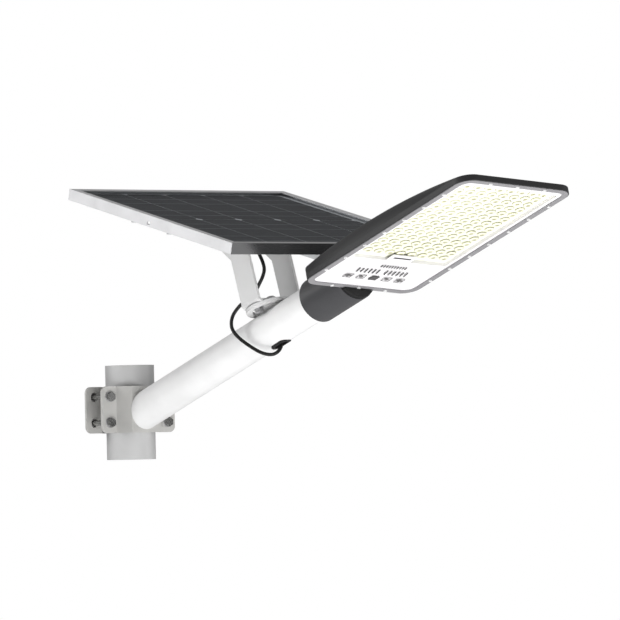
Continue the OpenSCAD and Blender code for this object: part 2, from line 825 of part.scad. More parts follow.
// Side view of the roof's two ends, which fall away faster than the long arc
module end_profile(inset) {
    translate([tail_x - eps, -1]) square([nose_x - tail_x + 2 * eps, crown_h + 11]);
    intersection() {
        translate([nose_x, crown_h - nose_r]) circle(nose_r - inset, $fn = 360);
        translate([nose_x, -1]) square([head_len, crown_h + 5]);
    }
    intersection() {
        translate([tail_x, crown_h - tail_r]) circle(tail_r - inset, $fn = 360);
        translate([tail_x - 140, -1]) square([140, crown_h + 5]);
    }
}

module housing_form(inset, low) {
    intersection() {
        translate([0, 0, low]) linear_extrude(crown_h + 10) head_outline(rim_lip - inset);
        union() {
            translate([-20, -head_w, -5])
                cube([head_len + 60, 2 * head_w, edge_h + 5 - inset]);
            intersection() {
                housing_dome(inset);
                rotate([90, 0, 0]) translate([0, 0, -head_w]) linear_extrude(2 * head_w)
                    end_profile(inset);
            }
        }
    }
}

ledge_low = 4.2;
ledge_in = 12;

module head_housing() {
    color("#3c3d40") head_frame() difference() {
        union() {
            difference() {
                union() {
                    housing_form(0, 0.8);
                    intersection() {
                        translate([-1, 0, lens_drop]) rod_x(collar_r, neck_len);
                        translate([-1, -50, edge_h]) cube([100, 100, 60]);
                    }
                }
                housing_form(wall, -1);
                translate([2, 0, lens_drop]) intersection() {
                    rod_x(collar_r - wall, neck_len - 6);
                    translate([0, -50, 4.2 - lens_drop]) cube([100, 100, 60]);
                }
            }
            translate([0, 0, ledge_low]) linear_extrude(4) difference() {
                head_outline(0);
                head_outline(-ledge_in);
            }
        }
        translate([-5, 0, lens_drop]) intersection() {
            rod_x(20, 12);
            translate([0, -30, -14]) cube([20, 60, 40]);
        }
        translate([0, 0, -1]) linear_extrude(cover_low + 1) head_outline(0.1);
        each_trim_screw() cylinder(r = 1.5, h = 9.5, $fn = 24);
    }
}

module spigot_collar() {
    color("#4a4b4e") head_frame() translate([0, 0, lens_drop]) difference() {
        union() {
            translate([-collar_len, 0, 0]) rod_x(collar_r, collar_len - rim_lip - eps);
            box([-collar_len, -12, 20], [-collar_len + 36, 12, boss_top]);
        }
        translate([-collar_len - 1, 0, 0]) rod_x(arm_r + run_gap, collar_len + 2);
        translate([-collar_len + 18, 0, arm_r - 2]) cylinder(r = m8[0] + run_gap, h = 40);
    }
}

module collar_plug() {
    color("#1c1c1e") head_frame() intersection() {
        translate([-rim_lip, 0, lens_drop]) rod_x(collar_r - 1.5, 6.5);
        box([-2, -40, -40], [10, 40, -2]);
    }
}

module collar_bolt() {
    color("darkgray") head_frame()
        translate([-collar_len + 18, 0, lens_drop + boss_top])
            bolt(m8, boss_top - arm_r - 0.2);
}

module each_trim_screw() {
    for (s = [-1, 1]) {
        for (i = [-3:3]) translate([head_len / 2 + i * screw_long_pitch,
            s * (head_w / 2 - screw_inset), 0]) children();
        for (i = [-1:1]) translate([head_len / 2 + s * (head_len / 2 - screw_inset),
            i * screw_short_pitch, 0]) children();
    }
}

module lens_trim() {
    color("#b9babd") head_frame() difference() {
        linear_extrude(trim_t) difference() {
            head_outline(0);
            head_outline(-trim_w);
        }
        each_trim_screw() translate([0, 0, -1]) cylinder(r = 1.5, h = 4, $fn = 24);
    }
}

module trim_screws() {
    color("gray") head_frame() each_trim_screw() {
        translate([0, 0, -1.4]) cylinder(r = 2.8, h = 1.4 - eps, $fn = 24);
        cylinder(r = 1.4, h = 7.5, $fn = 24);
        translate([0, 0, -0.5]) cylinder(r = 1.4, h = 1, $fn = 24);
    }
}

pocket = [[108, -85], [388, 85]];
tab = [[107, -23], [128, 21]];
slot_x = 118;
slot_size = [4.6, 31];
cover_low = trim_t + 0.05;

module lens_pocket(grow) {
    translate(pocket[0] - [grow, grow]) square(pocket[1] - pocket[0] + 2 * [grow, grow]);
}

module lens_cover() {
    color("white") head_frame() difference() {
        union() {
            translate([0, 0, cover_low]) linear_extrude(cover_t) difference() {
                head_outline(-1.6);
                lens_pocket(0);
            }
            translate([0, 0, cover_low]) linear_extrude(optic_z - cover_low - 0.1)
                difference() {
                    lens_pocket(1);
                    lens_pocket(0);
                }
            translate([0, 0, cover_low]) linear_extrude(cover_t) translate(tab[0])
                square(tab[1] - tab[0]);
        }
        translate([slot_x, 0, 0]) linear_extrude(optic_z)
            square(slot_size + 2 * [seat_gap, seat_gap], center = true);
        each_trim_screw() cylinder(r = 1.5, h = 5, $fn = 24);
    }
}

module receiver_window() {
    color("black") head_frame() translate([slot_x, 0, cover_low + 0.3])
        linear_extrude(3) square(slot_size, center = true);
}

module lens_gasket() {
    color("darkslategray") head_frame() translate([0, 0, cover_low + cover_t + 0.05])
        linear_extrude(ledge_low - cover_low - cover_t - 0.1) difference() {
            head_outline(-7.2);
            head_outline(-10.5);
        }
}

module optic_sheet() {
    color("ivory") head_frame() translate([0, 0, optic_z]) linear_extrude(optic_t)
        lens_pocket(1);
}

module each_led() {
    for (i = [0:led_rows - 1], j = [0:led_cols - 1])
        translate([led_x0 + (i + 0.5) * led_pitch_x, (j + 0.5) * led_pitch_y - led_area_y / 2, 0])
            children();
}

module led_lenses() {
    color("#f6f4dc") head_frame() each_led() translate([0, 0, optic_z - 2.2])
        cylinder(r1 = 4.5, r2 = 7.4, h = 2.2 - eps, $fn = 24);
}

module leds() {
    color("#f0d860") head_frame() each_led() translate([-1.75, -1.75, board_z - 0.8])
        cube([3.5, 3.5, 0.8 - eps]);
}

module led_board() {
    color("white") head_frame() translate([0, 0, board_z]) linear_extrude(board_t)
        translate([led_x0 - 4, -led_area_y / 2 - 5]) square([led_area_x + 3, led_area_y + 10]);
}

module heat_spreader() {
    color("silver") head_frame() translate([0, 0, board_z + board_t + eps])
        linear_extrude(1.2) translate([led_x0 - 4, -led_area_y / 2 - 2])
            square([led_area_x - 3, led_area_y + 4]);
}

cell_d = 26;
cell_len = 65;
tray_z = 13;
tray_t = 2;

module battery_cells() {
    color("royalblue") head_frame() for (x = [64, 133], j = [0:3])
        translate([x, (j - 1.5) * (cell_d + 1.5), tray_z + tray_t + cell_d / 2 + 0.1])
            rod_x(cell_d / 2, cell_len);
}

module battery_tray() {
    color("dimgray") head_frame() {
        box([60, -56, tray_z], [202, 56, tray_z + tray_t]);
        for (x = [60.5, 129.6, 199]) box([x, -56, tray_z + tray_t - eps], [x + 2.6, 56, tray_z + 14]);
    }
}

module controller_board() {
    color("darkgreen") head_frame() {
        box([212, -34, tray_z + 1], [278, 34, tray_z + 2.6]);
        for (y = [-22, -8]) translate([226, y, tray_z + 2.6 - eps]) cylinder(r = 5, h = 12);
        box([240, -4, tray_z + 2.6 - eps], [256, 12, tray_z + 11]);
        box([262, -26, tray_z + 2.6 - eps], [272, -8, tray_z + 8]);
    }
}

pole_stub();
clamp_front();
clamp_rear();
clamp_bolts();
clamp_washers();
clamp_nuts();
arm_tube();
swivel_flange();
cable_grommet();
cable_lower();
arm_lead();
lead_connector();
u_bracket();
swivel_bolts();
swivel_nuts();
pivot_bolts();
pivot_nuts();
frame_front();
frame_rear();
frame_left();
frame_right();
corner_keys();
panel_glass();
solar_cells();
cell_ribbons();
backsheet();
cross_rails();
rail_screws();
panel_saddle();
saddle_bolts();
tilt_bolts();
tilt_nuts();
junction_box();
junction_lid();
cable_gland();
cable_upper();
head_housing();
spigot_collar();
collar_plug();
collar_bolt();
lens_trim();
trim_screws();
lens_cover();
receiver_window();
lens_gasket();
optic_sheet();
led_lenses();
leds();
led_board();
heat_spreader();
battery_cells();
battery_tray();
controller_board();
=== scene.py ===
"""Looks for the solar street lamp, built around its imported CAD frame."""
import json
import math
import bmesh
import bpy
from mathutils import Matrix, Vector


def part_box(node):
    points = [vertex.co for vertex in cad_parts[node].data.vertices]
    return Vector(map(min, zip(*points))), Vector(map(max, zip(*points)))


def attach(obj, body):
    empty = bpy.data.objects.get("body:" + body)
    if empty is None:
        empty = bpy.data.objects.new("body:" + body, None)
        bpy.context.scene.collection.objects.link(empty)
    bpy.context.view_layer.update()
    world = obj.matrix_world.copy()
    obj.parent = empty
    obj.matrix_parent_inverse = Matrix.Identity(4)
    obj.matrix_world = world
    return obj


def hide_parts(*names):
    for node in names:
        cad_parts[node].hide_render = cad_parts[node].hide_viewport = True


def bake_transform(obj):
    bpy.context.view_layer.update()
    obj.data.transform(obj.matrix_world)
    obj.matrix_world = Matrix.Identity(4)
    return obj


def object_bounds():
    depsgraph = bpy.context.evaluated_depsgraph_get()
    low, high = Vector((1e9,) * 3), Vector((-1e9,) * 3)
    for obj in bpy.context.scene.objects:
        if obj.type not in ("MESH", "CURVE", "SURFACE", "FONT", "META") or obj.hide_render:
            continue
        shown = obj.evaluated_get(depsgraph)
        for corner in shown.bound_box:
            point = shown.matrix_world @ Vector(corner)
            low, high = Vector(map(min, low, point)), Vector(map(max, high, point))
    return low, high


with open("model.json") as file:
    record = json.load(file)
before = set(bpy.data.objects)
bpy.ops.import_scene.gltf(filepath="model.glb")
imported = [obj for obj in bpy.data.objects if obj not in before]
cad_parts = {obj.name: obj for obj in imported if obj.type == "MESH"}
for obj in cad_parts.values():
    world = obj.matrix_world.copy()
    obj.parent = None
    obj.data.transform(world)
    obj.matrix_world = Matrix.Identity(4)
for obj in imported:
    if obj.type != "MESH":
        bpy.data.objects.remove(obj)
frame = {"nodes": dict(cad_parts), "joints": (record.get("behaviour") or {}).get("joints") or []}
CAD_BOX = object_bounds()
NODES = frame["nodes"]
JOINTS = {j["name"]: j for j in frame["joints"]}

# ---------------------------------------------------------------- node-tree helpers


class Tree:
    """A material's node tree, with short calls for the nodes used here."""

    def __init__(self, name):
        self.material = bpy.data.materials.new(name)
        self.material.use_nodes = True
        self.nodes = self.material.node_tree.nodes
        self.links = self.material.node_tree.links
        self.shader = self.nodes["Principled BSDF"]
        self.coords = self.nodes.new("ShaderNodeTexCoord").outputs["Object"]

    def put(self, socket, value):
        """Link an output to a socket, or give the socket a plain value."""
        if hasattr(value, "is_output"):
            self.links.new(value, socket)
        elif hasattr(value, "__len__") and socket.type == "RGBA" and len(value) == 3:
            socket.default_value = (*value, 1.0)
        else:
            socket.default_value = value

    def set(self, **values):
        """Fill the shader's inputs; an underscore stands for a space in a name."""
        for name, value in values.items():
            self.put(self.shader.inputs[name.replace("_", " ")], value)

    def noise(self, scale, detail=4.0, roughness=0.55, stretch=None):
        node = self.nodes.new("ShaderNodeTexNoise")
        node.inputs["Scale"].default_value = scale
        node.inputs["Detail"].default_value = detail
        node.inputs["Roughness"].default_value = roughness
        source = self.coords
        if stretch:
            mapping = self.nodes.new("ShaderNodeMapping")
            mapping.inputs["Scale"].default_value = stretch
            self.links.new(source, mapping.inputs["Vector"])
            source = mapping.outputs["Vector"]
        self.links.new(source, node.inputs["Vector"])
        return node.outputs["Fac"]

    def cells(self, scale):
        """0 at the middle of each crystal-like cell, rising to its edges."""
        node = self.nodes.new("ShaderNodeTexVoronoi")
        node.inputs["Scale"].default_value = scale
        self.links.new(self.coords, node.inputs["Vector"])
        return node.outputs["Distance"]

    def ramp(self, value, stops):
        """Colours at places along a ramp."""
        node = self.nodes.new("ShaderNodeValToRGB")
        while len(node.color_ramp.elements) < len(stops):
            node.color_ramp.elements.new(0.5)
        for element, (place, colour) in zip(node.color_ramp.elements, stops):
            element.position = place
            element.color = (*colour, 1)
        self.put(node.inputs["Fac"], value)
        return node.outputs["Color"]

    def math(self, operation, a, b):
        node = self.nodes.new("ShaderNodeMath")
        node.operation = operation
        for socket, value in zip(node.inputs, (a, b)):
            self.put(socket, value)
        return node.outputs["Value"]

    def span(self, value, low, high, to_low=0.0, to_high=1.0):
        """A value from low to high, mapped to to_low to to_high and held between them."""
        node = self.nodes.new("ShaderNodeMapRange")
        for socket, item in zip(node.inputs, (value, low, high, to_low, to_high)):
            self.put(socket, item)
        return node.outputs["Result"]

    def mix(self, factor, a, b):
        """A colour mix; the Mix node's colour sockets are inputs 6 and 7 and output 2."""
        node = self.nodes.new("ShaderNodeMix")
        node.data_type = "RGBA"
        self.put(node.inputs["Factor"], factor)
        self.put(node.inputs[6], a)
        self.put(node.inputs[7], b)
        return node.outputs[2]

    def bevel(self, radius):
        """The surface normal with edges rounded to a radius."""
        node = self.nodes.new("ShaderNodeBevel")
        node.samples = 4
        node.inputs["Radius"].default_value = radius
        return node.outputs["Normal"]

    def edges(self, radius):
        """About 1 on a convex edge and 0 on a flat face."""
        rounded = self.bevel(radius)
        plain = self.nodes.new("ShaderNodeNewGeometry")
        dot = self.nodes.new("ShaderNodeVectorMath")
        dot.operation = "DOT_PRODUCT"
        self.links.new(rounded, dot.inputs[0])
        self.links.new(plain.outputs["Normal"], dot.inputs[1])
        return self.span(dot.outputs["Value"], 0.99, 0.75)

    def bump(self, height, strength=0.2, distance=0.001, round_edges=0.0):
        node = self.nodes.new("ShaderNodeBump")
        node.inputs["Strength"].default_value = strength
        node.inputs["Distance"].default_value = distance
        self.put(node.inputs["Height"], height)
        if round_edges:
            self.links.new(self.bevel(round_edges), node.inputs["Normal"])
        self.links.new(node.outputs["Normal"], self.shader.inputs["Normal"])


# Radii, in metres, over which edges are softened and show wear
PAINT_EDGE, METAL_EDGE, MOULD_EDGE = 0.0008, 0.0005, 0.0006
# Paint: how far its tone and roughness vary, and how much of the worn colour shows
PAINT_TONE, PAINT_GRIT, PAINT_WEAR = 0.05, 0.12, 0.3
# Metal: how much brighter its rubbed edges are, and the scale of its spangle texture
RUBBED, SPANGLE_SCALE = 1.25, 150.0
# Mouldings: their darker tone, and how far their roughness varies each way
MOULD_DARK, MOULD_GRIT = 0.92, 0.07


def painted(name, colour, roughness, grain, worn=(0.5, 0.5, 0.5), gloss=0.5):
    """Powder coat: a fine orange peel, faint blotches and slightly worn edges."""
    t = Tree(name)
    blotch = t.noise(16.0, 5.0, 0.6)
    fine = t.noise(grain, 3.0, 0.6)
    dark = tuple(c * (1 - PAINT_TONE) for c in colour)
    light = tuple(min(1.0, c * (1 + PAINT_TONE / 2)) for c in colour)
    base = t.ramp(blotch, [(0.35, dark), (0.55, colour), (0.72, light)])
    scuff = t.math("MULTIPLY", t.edges(PAINT_EDGE), t.span(t.noise(260.0), 0.45, 0.65))
    base = t.mix(t.math("MULTIPLY", scuff, PAINT_WEAR), base, worn)
    t.set(Base_Color=base, Specular_IOR_Level=gloss, Roughness=t.span(
        fine, 0.3, 0.7, roughness - PAINT_GRIT / 2, roughness + PAINT_GRIT / 2))
    t.bump(fine, 0.10, 0.0004, PAINT_EDGE)
    return t.material


def metal(name, colour, roughness, metallic, grain=(1.0, 1.0, 1.0), spread=0.16, spangle=0.0,
          oxide=0.10, shine=0.35):
    """Bare or plated metal: drawn grain, faint oxide clouds and bright worn edges."""
    t = Tree(name)
    drawn = t.noise(420.0, roughness=0.6, stretch=grain)
    cloud = t.noise(26.0, roughness=0.5)
    dark = tuple(c * (1 - oxide) for c in colour)
    light = tuple(min(1.0, c * (1 + oxide / 2)) for c in colour)
    base = t.ramp(cloud, [(0.3, dark), (0.52, colour), (0.75, light)])
    if spangle:
        base = t.mix(t.math("MULTIPLY", t.cells(SPANGLE_SCALE), spangle), base, light)
    rubbed = tuple(min(1.0, c * RUBBED) for c in colour)
    base = t.mix(t.math("MULTIPLY", t.edges(METAL_EDGE), shine), base, rubbed)
    t.set(Base_Color=base, Metallic=metallic,
          Roughness=t.span(drawn, 0.3, 0.7, roughness - spread / 2, roughness + spread / 2))
    t.bump(drawn, 0.08, 0.0002, METAL_EDGE)
    return t.material


def moulded(name, colour, roughness, grain=700.0, depth=0.1, sheen=0.3):
    """Moulded plastic or rubber: fine texture with soft tone changes."""
    t = Tree(name)
    fine = t.noise(grain, 3.0, 0.6)
    cloud = t.noise(24.0, roughness=0.6)
    dark = tuple(c * MOULD_DARK for c in colour)
    base = t.ramp(cloud, [(0.32, dark), (0.6, colour)])
    t.set(Base_Color=base, Specular_IOR_Level=sheen, Roughness=t.span(
        fine, 0.3, 0.7, roughness - MOULD_GRIT, roughness + MOULD_GRIT))
    t.bump(fine, depth, 0.0004, MOULD_EDGE)
    return t.material


# The share of light the glass reflects when seen edge-on
GLASS_SHARE = 0.09


def glazing(name):
    """Clear low-iron glass with faint dust; light passes straight through it."""
    t = Tree(name)
    clear = t.nodes.new("ShaderNodeBsdfTransparent")
    clear.inputs["Color"].default_value = (0.95, 0.96, 0.97, 1)
    facing = t.nodes.new("ShaderNodeLayerWeight")
    facing.inputs["Blend"].default_value = 0.18
    dust = t.noise(60.0, 6.0, 0.7)
    share = t.math("ADD", t.span(facing.outputs["Facing"], 0.0, 1.0, 0.03, GLASS_SHARE),
                   t.span(dust, 0.5, 0.8, 0.0, 0.02))
    t.set(Base_Color=(0.03, 0.03, 0.035), Roughness=t.span(dust, 0.3, 0.7, 0.05, 0.16))
    mixer = t.nodes.new("ShaderNodeMixShader")
    t.put(mixer.inputs[0], share)
    t.links.new(clear.outputs["BSDF"], mixer.inputs[1])
    t.links.new(t.shader.outputs["BSDF"], mixer.inputs[2])
    t.links.new(mixer.outputs["Shader"], t.nodes["Material Output"].inputs["Surface"])
    return t.material


def silicon(name):
    """Dark cells with fine screen-printed fingers."""
    t = Tree(name)
    wave = t.nodes.new("ShaderNodeTexWave")
    wave.bands_direction = "X"
    wave.inputs["Scale"].default_value = 240.0
    wave.inputs["Distortion"].default_value = 0.0
    t.links.new(t.coords, wave.inputs["Vector"])
    cloud = t.noise(14.0, 5.0, 0.6)
    base = t.ramp(cloud, [(0.3, (0.014, 0.014, 0.015)), (0.7, (0.022, 0.022, 0.024))])
    lines = t.span(wave.outputs["Fac"], 0.93, 0.99)
    base = t.mix(t.math("MULTIPLY", lines, 0.05), base, (0.35, 0.36, 0.38))
    t.set(Base_Color=base, Roughness=0.5, Specular_IOR_Level=0.25)
    t.bump(t.noise(1400.0, 2.0), 0.05, 0.0002)
    return t.material


M = {
    "pole": painted("pole_coat", (0.44, 0.44, 0.44), 0.40, 700.0),
    "arm": painted("arm_coat", (0.71, 0.71, 0.71), 0.42, 700.0, (0.6, 0.6, 0.6)),
    "bracket": painted("bracket_coat", (0.56, 0.56, 0.56), 0.45, 700.0),
    "galvanised": metal("galvanised", (0.46, 0.455, 0.44), 0.50, 0.35, spangle=0.3),
    "dark_bolt": metal("dark_zinc", (0.23, 0.23, 0.225), 0.26, 0.85, shine=1.0),
    "bright_bolt": metal("bright_zinc", (0.42, 0.42, 0.43), 0.34, 0.8),
    "cable": moulded("cable_jacket", (0.008, 0.008, 0.008), 0.42, grain=500.0, sheen=0.2),
    "black": moulded("black_plastic", (0.012, 0.012, 0.013), 0.5, sheen=0.2),
    "anodised": metal("anodised", (0.60, 0.60, 0.61), 0.42, 0.3, (1.0, 40.0, 1.0)),
    "bright_frame": metal("bright_frame", (0.46, 0.46, 0.47), 0.15, 0.96, (1.0, 40.0, 1.0),
                          spread=0.06, oxide=0.05, shine=0.9),
    "glass": glazing("panel_glass"),
    "silicon": silicon("silicon"),
    "ribbon": metal("ribbon", (0.26, 0.26, 0.27), 0.45, 0.4, (30.0, 1.0, 1.0)),
    "sheet": moulded("backsheet", (0.80, 0.80, 0.80), 0.55),
    "pale": moulded("pale_plastic", (0.52, 0.53, 0.54), 0.45),
    "housing": painted("housing_coat", (0.032, 0.032, 0.033), 0.52, 1100.0,
                       (0.12, 0.12, 0.12), 0.22),
    "collar": painted("collar_coat", (0.042, 0.042, 0.045), 0.42, 1100.0,
                      (0.14, 0.14, 0.14), 0.35),
    "plug": moulded("plug_rubber", (0.012, 0.012, 0.012), 0.6, sheen=0.2),
    "trim": metal("trim_metal", (0.25, 0.245, 0.255), 0.46, 0.2, oxide=0.06, shine=0.1),
    "screw": metal("screw_zinc", (0.80, 0.80, 0.80), 0.30, 0.4),
    "lens": moulded("lens_white", (0.74, 0.73, 0.74), 0.36, 400.0, 0.03),
    "optic": moulded("optic_cream", (0.80, 0.80, 0.68), 0.34, 400.0, 0.03),
    "dome": moulded("dome_cream", (0.80, 0.80, 0.60), 0.18, 400.0, 0.02, sheen=0.5),
    "chip": moulded("dome_chip", (0.36, 0.35, 0.22), 0.30, 400.0, 0.02),
    "gasket": moulded("gasket", (0.05, 0.05, 0.052), 0.6),
    "led": moulded("phosphor", (0.62, 0.50, 0.12), 0.4),
    "board": moulded("solder_mask_white", (0.82, 0.83, 0.81), 0.35),
    "cell": moulded("cell_sleeve", (0.03, 0.12, 0.42), 0.3),
    "pcb": moulded("solder_mask_green", (0.01, 0.12, 0.05), 0.35),
    "ink": moulded("ink_grey", (0.14, 0.135, 0.135), 0.6, 900.0, 0.02),
    "ink_dark": moulded("ink_dark", (0.075, 0.073, 0.073), 0.6, 900.0, 0.02),
}

USE = {
    "pole": ["pole_stub"],
    "galvanised": ["clamp_front", "clamp_rear", "cross_rails"],
    "dark_bolt": ["clamp_bolts", "clamp_nuts"],
    "bright_bolt": ["clamp_washers", "swivel_bolts", "swivel_nuts", "pivot_bolts", "pivot_nuts",
                    "rail_screws", "saddle_bolts", "tilt_bolts", "tilt_nuts", "collar_bolt"],
    "screw": ["trim_screws"],
    "arm": ["arm_tube"],
    "bracket": ["u_bracket", "panel_saddle", "swivel_flange"],
    "black": ["cable_grommet", "lead_connector", "cable_gland", "receiver_window",
              "battery_tray"],
    "cable": ["cable_lower", "arm_lead", "cable_upper"],
    "bright_frame": ["frame_front"],
    "anodised": ["frame_rear", "frame_left", "frame_right", "corner_keys",
                 "heat_spreader"],
    "glass": ["panel_glass"],
    "silicon": ["solar_cells"],
    "ribbon": ["cell_ribbons"],
    "sheet": ["backsheet"],
    "pale": ["junction_box", "junction_lid"],
    "housing": ["head_housing"],
    "collar": ["spigot_collar"],
    "plug": ["collar_plug"],
    "trim": ["lens_trim"],
    "lens": ["lens_cover"],
    "gasket": ["lens_gasket"],
    "optic": ["optic_sheet", "led_lenses"],
    "led": ["leds"],
    "board": ["led_board"],
    "cell": ["battery_cells"],
    "pcb": ["controller_board"],
}
for key, names in USE.items():
    for name in names:
        obj = NODES[name]
        obj.data.materials.clear()
        obj.data.materials.append(M[key])

# ---------------------------------------------------------------- directions in the lamp


# A face whose normal rises more than this looks up
FACES_UP = 0.2


def upward_normal(node):
    """The largest flat face's upward normal."""
    face = max((f for f in NODES[node].data.polygons if f.normal.z > FACES_UP),
               key=lambda f: f.area)
    return face.normal.copy()


PANEL_UP = upward_normal("panel_glass")
ARM_ALONG = Vector(JOINTS["head_roll"]["axis"]).normalized()
ARM_UP = Vector(JOINTS["bracket_swivel"]["axis"]).normalized()
LEFT = ARM_UP.cross(ARM_ALONG)


def new_piece(name, verts, faces, keys, face_keys=None, smooth=True):
    """A new mesh piece; keys name its materials and face_keys pick one for each face."""
    mesh = bpy.data.meshes.new(name)
    mesh.from_pydata([tuple(v) for v in verts], [], faces)
    mesh.validate()
    mesh.update()
    piece = bpy.data.objects.new(name, mesh)
    bpy.context.scene.collection.objects.link(piece)
    for key in keys:
        mesh.materials.append(M[key])
    for polygon in mesh.polygons:
        polygon.use_smooth = smooth
        if face_keys:
            polygon.material_index = face_keys[polygon.index]
    return piece


# ---------------------------------------------------------------- cables

# Added to the cable's radius, since rounding a faceted tube off makes it thinner
CABLE_FULL = 0.00025
# Points closer than this are one point
SAME_POINT = 1e-6
# Triangles that differ by less than these angles are joined into one four-sided face
JOIN_FACE, JOIN_SHAPE = math.radians(22), math.radians(60)


def smooth_cable(node, name):
    """A round cable made on the CAD cable's own line."""
    tube = bmesh.new()
    tube.from_mesh(NODES[node].data)
    bmesh.ops.remove_doubles(tube, verts=tube.verts, dist=SAME_POINT)
    bmesh.ops.join_triangles(tube, faces=tube.faces, angle_face_threshold=JOIN_FACE,
                             angle_shape_threshold=JOIN_SHAPE)
    mesh = bpy.data.meshes.new(name)
    tube.to_mesh(mesh)
    tube.free()
    piece = bpy.data.objects.new(name, mesh)
    bpy.context.scene.collection.objects.link(piece)
    round_off = piece.modifiers.new("round", "SUBSURF")
    round_off.levels = round_off.render_levels = 1
    fine = bpy.data.meshes.new_from_object(
        piece.evaluated_get(bpy.context.evaluated_depsgraph_get()))
    piece.modifiers.clear()
    piece.data = fine
    for vert, normal in [(v, v.normal.copy()) for v in fine.vertices]:
        vert.co += normal * CABLE_FULL
    fine.materials.clear()
    fine.materials.append(M["cable"])
    for polygon in fine.polygons:
        polygon.use_smooth = True
    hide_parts(node)
    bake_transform(piece)


# The lower cable bends as it rises past the swivel, along the CAD cable's own line.
smooth_cable("cable_lower", "lower_cable")

# The upper cable bends by the tilt pivot. The bend starts beyond and below the pivot and
# runs up and outward to the gland.
smooth_cable("cable_upper", "upper_cable")

# ---------------------------------------------------------------- the lens face


def islands(obj):
    """Middle point of each separate solid in a CAD node's mesh."""
    solid = bmesh.new()
    solid.from_mesh(obj.data)
    bmesh.ops.remove_doubles(solid, verts=solid.verts, dist=SAME_POINT)
    seen, middles = set(), []
    for start in solid.verts:
        if start in seen:
            continue
        stack, members = [start], []
        seen.add(start)
        while stack:
            vert = stack.pop()
            members.append(vert.co)
            for edge in vert.link_edges:
                other = edge.other_vert(vert)
                if other not in seen:
                    seen.add(other)
                    stack.append(other)
        middles.append(sum((Vector(m) for m in members), Vector()) / len(members))
    solid.free()
    return middles


# An edge no longer than this is a plate's thickness, not one of its sides
THICKEST = 0.01


def plate_axes(node):
    """Long, short and outward (downward) directions of a flat rectangular plate."""
    mesh = NODES[node].data
    points = [v.co for v in mesh.vertices]
    low = min(points, key=lambda p: p.dot(ARM_ALONG))
    sides = sorted({round((q - low).length, 5): (q - low) for q in points
                    if (q - low).length > THICKEST}.items())
    short = sides[0][1].normalized()
    long = min((v for _, v in sides), key=lambda v: abs(v.normalized().dot(short))).normalized()
    out = long.cross(short).normalized()
    if out.z > 0:
        out = -out
    if long.dot(ARM_ALONG) < 0:
        long = -long
    return long, out.cross(long), out


ALONG, ACROSS, OUT = plate_axes("optic_sheet")


def reach(node, direction):
    """How far a CAD node reaches along a direction."""
    return max(v.co.dot(direction) for v in NODES[node].data.vertices)


FACE_LEVEL = reach("lens_cover", OUT)
SHEET_LEVEL = reach("optic_sheet", OUT)
TAIL = -reach("lens_cover", -ALONG)
MIDDLE = (reach("lens_cover", ACROSS) - reach("lens_cover", -ACROSS)) / 2
# Each dome: radius, height, its chip's radius, facets, rings, and its gap over the sheet
DOME_R, DOME_H, CHIP_R, DOME_SIDES, DOME_RINGS = 0.0074, 0.0017, 0.0032, 20, 4
DOME_LIFT = 0.0001


def led_domes():
    """One low cream dome over each LED, with the chip showing at its middle."""
    verts, faces, keys = [], [], []
    for middle in islands(NODES["leds"]):
        base = middle + OUT * (SHEET_LEVEL - middle.dot(OUT))
        first = len(verts)
        for ring in range(DOME_RINGS + 1):
            share = ring / DOME_RINGS
            r = DOME_R + (CHIP_R - DOME_R) * share
            lift = DOME_H * math.sqrt(max(0.0, 1 - (r / DOME_R) ** 2))
            for side in range(DOME_SIDES):
                turn = 2 * math.pi * side / DOME_SIDES
                verts.append(base + OUT * (lift + DOME_LIFT)
                             + (ALONG * math.cos(turn) + ACROSS * math.sin(turn)) * r)
        for ring in range(DOME_RINGS):
            for side in range(DOME_SIDES):
                a = first + ring * DOME_SIDES + side
                b = first + ring * DOME_SIDES + (side + 1) % DOME_SIDES
                faces.append((a, b, b + DOME_SIDES, a + DOME_SIDES))
                keys.append(0)
        top = first + DOME_RINGS * DOME_SIDES
        faces.append(tuple(top + side for side in range(DOME_SIDES)))
        keys.append(1)
        faces.append(tuple(first + side for side in reversed(range(DOME_SIDES))))
        keys.append(0)
    piece = new_piece("led_domes", verts, faces, ["dome", "chip"], keys)
    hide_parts("led_lenses")
    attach(piece, "head")


# The marks start just under the lens face and stand this far above it
MARK_UNDER, MARK_OVER = 0.0002, 0.00012


def prism(shape, verts, faces):
    """A thin flat mark on the lens face; shape is given as (along, across) in metres."""
    first, n = len(verts), len(shape)
    for level in (-MARK_UNDER, MARK_OVER):
        for along, across in shape:
            verts.append(ALONG * (TAIL + along) + ACROSS * (MIDDLE + across)
                         + OUT * (FACE_LEVEL + level))
    faces.append(tuple(first + i for i in reversed(range(n))))
    faces.append(tuple(first + n + i for i in range(n)))
    for i in range(n):
        j = (i + 1) % n
        faces.append((first + i, first + j, first + n + j, first + n + i))


def disc(along, across, r):
    """A round outline."""
    turns = [2 * math.pi * i / DISC_SIDES for i in range(DISC_SIDES)]
    return [(along + r * math.cos(turn), across + r * math.sin(turn)) for turn in turns]


def bar(along0, along1, across0, across1, slant=0.0):
    """A four-sided outline, leaning by slant."""
    return [(along0, across0), (along1, across0 + slant), (along1, across1 + slant),
            (along0, across1)]


